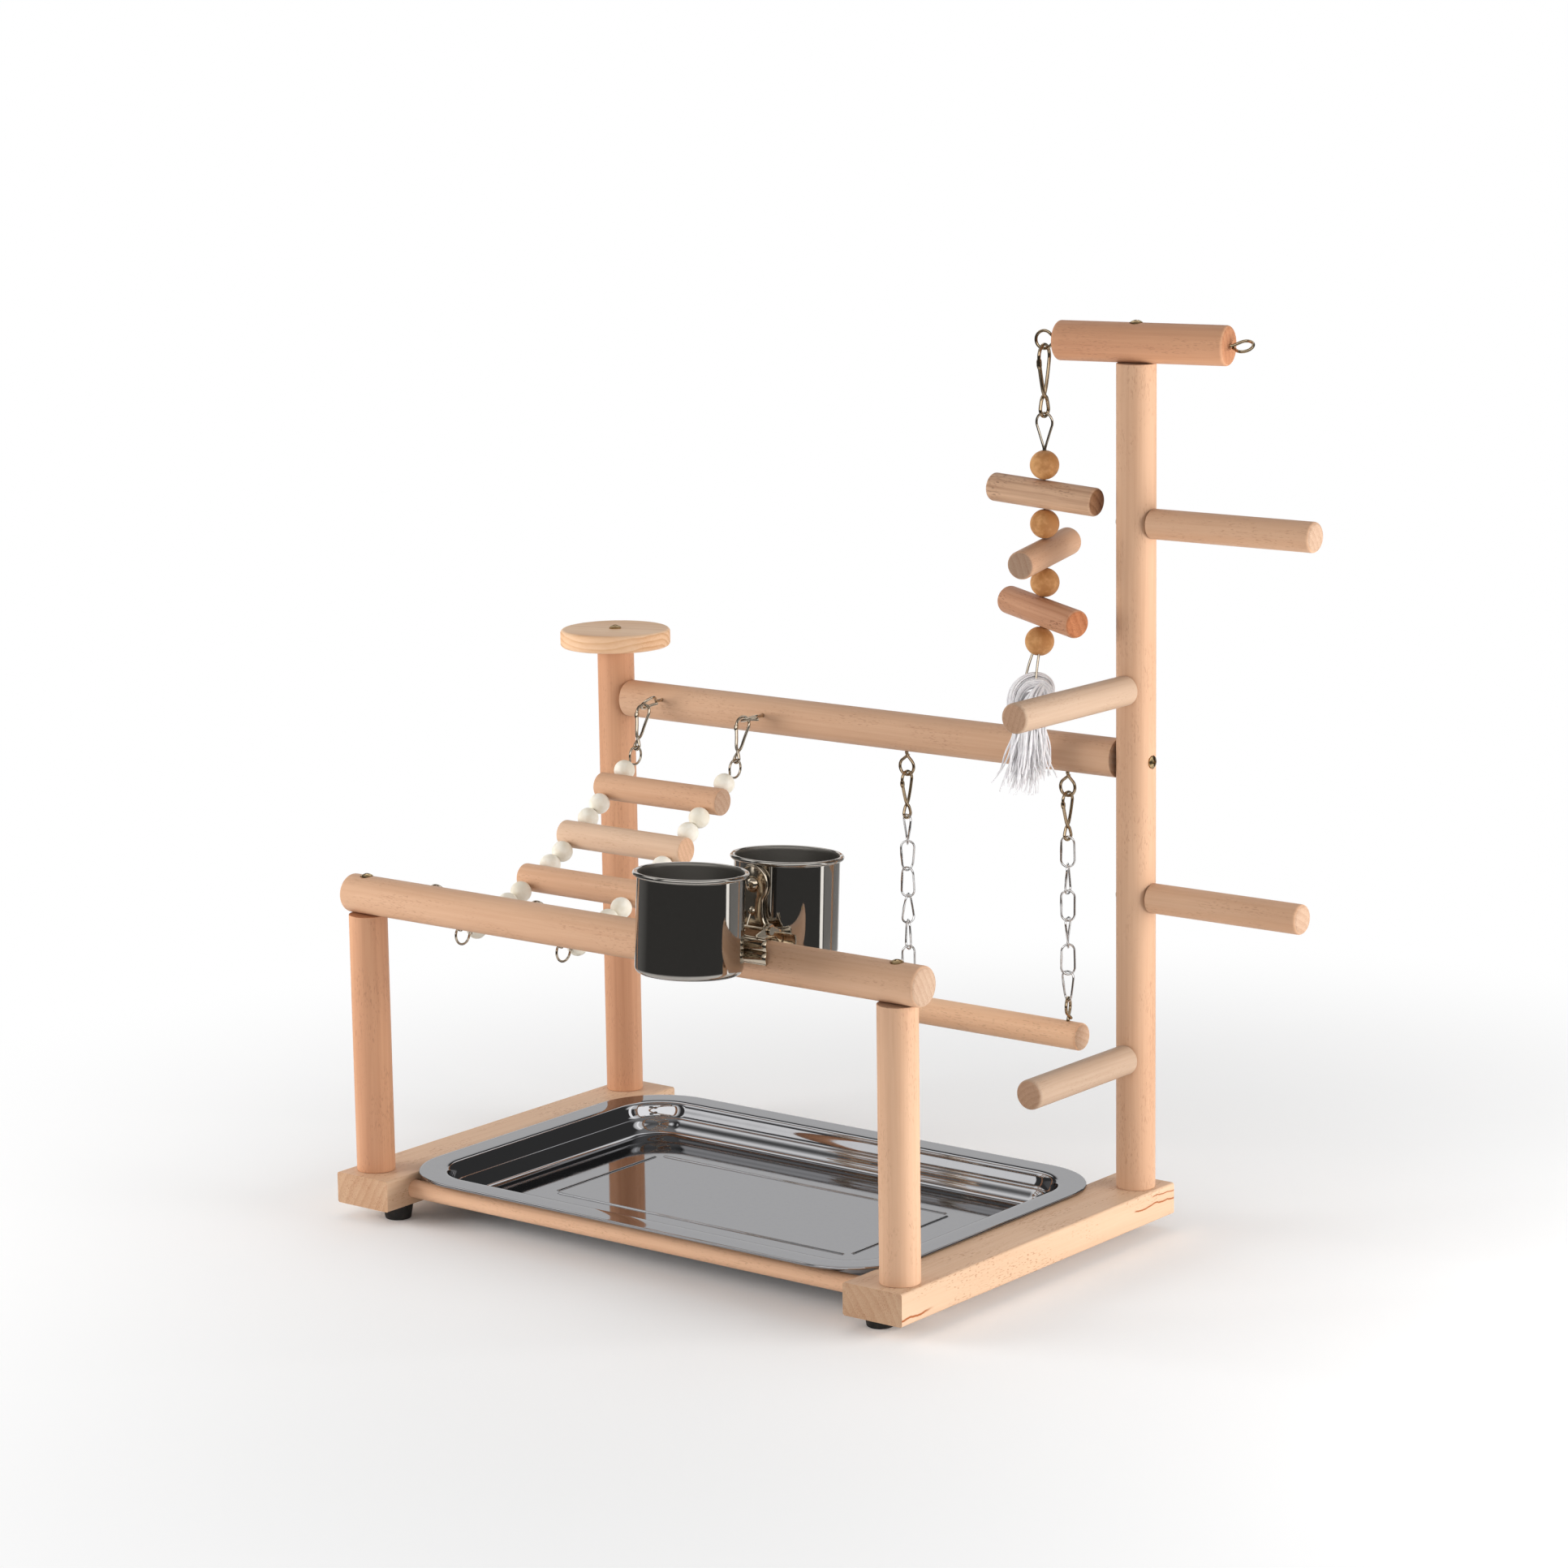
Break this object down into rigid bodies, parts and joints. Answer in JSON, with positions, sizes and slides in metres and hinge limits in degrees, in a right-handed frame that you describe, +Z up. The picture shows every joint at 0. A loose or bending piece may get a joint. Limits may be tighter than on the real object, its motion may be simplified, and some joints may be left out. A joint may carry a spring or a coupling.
{
  "type": "parrot play stand",
  "caption": "Tabletop bird play stand of wooden dowels on two boards, with perches, a litter tray, a swing, a bead ladder, a clip with metal cups and a hanging toy.",
  "frame": {"origin": "middle of the bounding box, on the floor under the feet", "axes": "+X to the stand's right along the rails, +Y to its back, +Z up"},
  "size_m": [0.5936, 0.3682, 0.5826],
  "materials": {
    "beech": "satin",
    "pine": "satin",
    "pale_wood": "satin",
    "grey_wood": "satin",
    "red_wood": "satin",
    "nickel": "polished",
    "cup_steel": "polished",
    "tray_steel": "polished",
    "rubber": "matte",
    "ivory_beads": "satin",
    "stained_beads": "satin",
    "cotton": "matte"
  },
  "bodies": {
    "stand": {"left_base_board": "pine", "right_base_board": "pine", "front_stretcher": "beech", "rear_stretcher": "beech", "rubber_feet": "rubber", "foot_screws": "nickel", "front_left_leg": "beech", "front_right_leg": "beech", "back_left_post": "beech", "back_right_post": "beech", "post_screws": "nickel", "front_rail": "beech", "front_rail_screws": "nickel", "back_rail": "beech", "back_rail_screws": "nickel", "disc_platform": "pine", "disc_screw": "nickel", "top_perch": "beech", "top_perch_screw": "nickel", "upper_side_perch": "beech", "lower_side_perch": "beech", "upper_front_perch": "pale_wood", "lower_front_perch": "pale_wood", "perch_screws": "nickel", "toy_eye_screw": "nickel", "spare_eye_screw": "nickel", "swing_upper_eyes": "nickel", "ladder_upper_eyes": "nickel", "ladder_lower_eyes": "nickel"},
    "tray": {"litter_tray": "tray_steel"},
    "swing": {"swing_hooks": "nickel", "left_swing_chain": "nickel", "right_swing_chain": "nickel", "swing_bar": "beech", "swing_bar_eyes": "nickel"},
    "ladder_top_hooks": {"ladder_upper_hooks": "nickel"},
    "ladder": {"ladder_wires": "nickel", "left_ladder_beads": "ivory_beads", "right_ladder_beads": "ivory_beads", "ladder_rung_1": "beech", "ladder_rung_2": "beech", "ladder_rung_3": "beech", "ladder_rung_4": "beech"},
    "ladder_low_hooks": {"ladder_lower_hooks": "nickel"},
    "clip": {"clip_pin": "nickel", "clip_spring": "nickel"},
    "front_holder": {"front_clip_half": "nickel", "front_cup": "cup_steel", "front_cup_rivets": "nickel"},
    "rear_holder": {"rear_clip_half": "nickel", "rear_cup": "cup_steel", "rear_cup_rivets": "nickel"},
    "toy_hook": {"toy_snap_hook": "nickel"},
    "toy_string": {"toy_wire": "nickel", "toy_beads": "stained_beads", "toy_tassel": "cotton"},
    "toy_stick_top": {"toy_stick_1": "grey_wood"},
    "toy_stick_middle": {"toy_stick_2": "pale_wood"},
    "toy_stick_low": {"toy_stick_3": "red_wood"}
  },
  "joints": [
    {"name": "tray_lift", "type": "slide", "parent": "stand", "child": "tray", "axis": [0, 0, 1], "range_m": [0, 0.06]},
    {"name": "swing_sway", "type": "hinge", "parent": "stand", "child": "swing", "pos_m": [0.05125, 0.14663, 0.27864], "axis": [1, 0, 0], "range_deg": [-45, 45]},
    {"name": "ladder_top_swing", "type": "hinge", "parent": "stand", "child": "ladder_top_hooks", "pos_m": [-0.17025, 0.12063, 0.307], "axis": [1, 0, 0], "range_deg": [-10, 10]},
    {"name": "ladder_tilt", "type": "hinge", "parent": "ladder_top_hooks", "child": "ladder", "pos_m": [-0.17025, 0.11182, 0.2799], "axis": [1, 0, 0], "range_deg": [-11.2, 11.2]},
    {"name": "ladder_low_swing", "type": "hinge", "parent": "stand", "child": "ladder_low_hooks", "pos_m": [-0.17025, -0.08367, 0.2123], "axis": [1, 0, 0], "range_deg": [-7.4, 7.4]},
    {"name": "clip_slide", "type": "slide", "parent": "stand", "child": "clip", "axis": [1, 0, 0], "range_m": [-0.11, 0.065]},
    {"name": "front_jaw", "type": "hinge", "parent": "clip", "child": "front_holder", "pos_m": [0.04675, -0.10424, 0.23197], "axis": [-1, 0, 0], "range_deg": [0, 14], "stiffness_Nm_per_rad": 0.5, "springref_deg": -28.65},
    {"name": "rear_jaw", "type": "hinge", "parent": "clip", "child": "rear_holder", "pos_m": [0.04675, -0.10424, 0.23197], "axis": [1, 0, 0], "range_deg": [0, 14], "stiffness_Nm_per_rad": 0.5, "springref_deg": -28.65},
    {"name": "toy_swing", "type": "hinge", "parent": "stand", "child": "toy_hook", "pos_m": [0.10524, 0.13578, 0.5629], "axis": [0.9848, 0.1736, 0], "range_deg": [-35, 0]},
    {"name": "toy_sway", "type": "hinge", "parent": "toy_hook", "child": "toy_string", "pos_m": [0.10524, 0.13578, 0.52045], "axis": [0, 1, 0], "range_deg": [-3, 20]},
    {"name": "top_stick_spin", "type": "hinge", "parent": "toy_string", "child": "toy_stick_top", "pos_m": [0.10524, 0.13578, 0.4716], "axis": [0, 0, 1], "continuous": true},
    {"name": "middle_stick_spin", "type": "hinge", "parent": "toy_string", "child": "toy_stick_middle", "pos_m": [0.10524, 0.13578, 0.4345], "axis": [0, 0, 1], "continuous": true},
    {"name": "low_stick_spin", "type": "hinge", "parent": "toy_string", "child": "toy_stick_low", "pos_m": [0.10524, 0.13278, 0.39764], "axis": [0, 0.1617, 0.9868], "continuous": true}
  ],
  "couplings": [
    {"joint": "ladder_tilt", "follows": "ladder_top_swing", "ratio": -1.1105},
    {"joint": "ladder_low_swing", "follows": "ladder_top_swing", "ratio": 0.7356},
    {"joint": "rear_jaw", "follows": "front_jaw", "ratio": 1}
  ]
}
